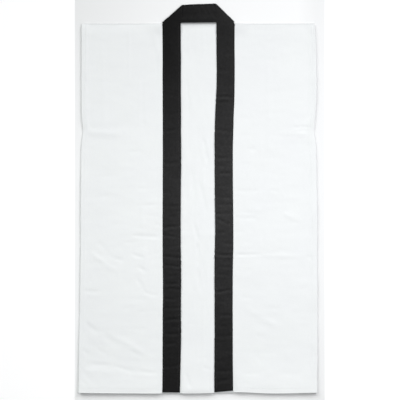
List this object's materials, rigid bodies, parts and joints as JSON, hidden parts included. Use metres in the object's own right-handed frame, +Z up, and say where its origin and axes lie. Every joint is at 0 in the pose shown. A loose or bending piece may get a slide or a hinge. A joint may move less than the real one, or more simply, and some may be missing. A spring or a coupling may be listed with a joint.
{
  "type": "sleeveless long happi coat",
  "caption": "Straight-cut sleeveless long happi coat laid flat face up, white body with open armholes and a broad black collar strip from hem to hem round the neck.",
  "frame": {"origin": "middle of the whole coat's box, on the surface that the back lies on", "axes": "+Y from the hem to the collar, +X to the viewer's right, +Z up out of the face of the coat"},
  "size_m": [0.6456, 1.0522, 0.0075],
  "materials": {
    "body_cloth": "matt white plain-weave cloth, lightly creased",
    "collar_cloth": "matt black plain-weave cloth, doubled and topstitched, with cross creases"
  },
  "bodies": {
    "root": {"back_panel": "body_cloth", "front_left": "body_cloth", "front_right": "body_cloth", "collar_front_left": "collar_cloth", "collar_back_neck": "collar_cloth", "collar_front_right": "collar_cloth"}
  },
  "joints": []
}
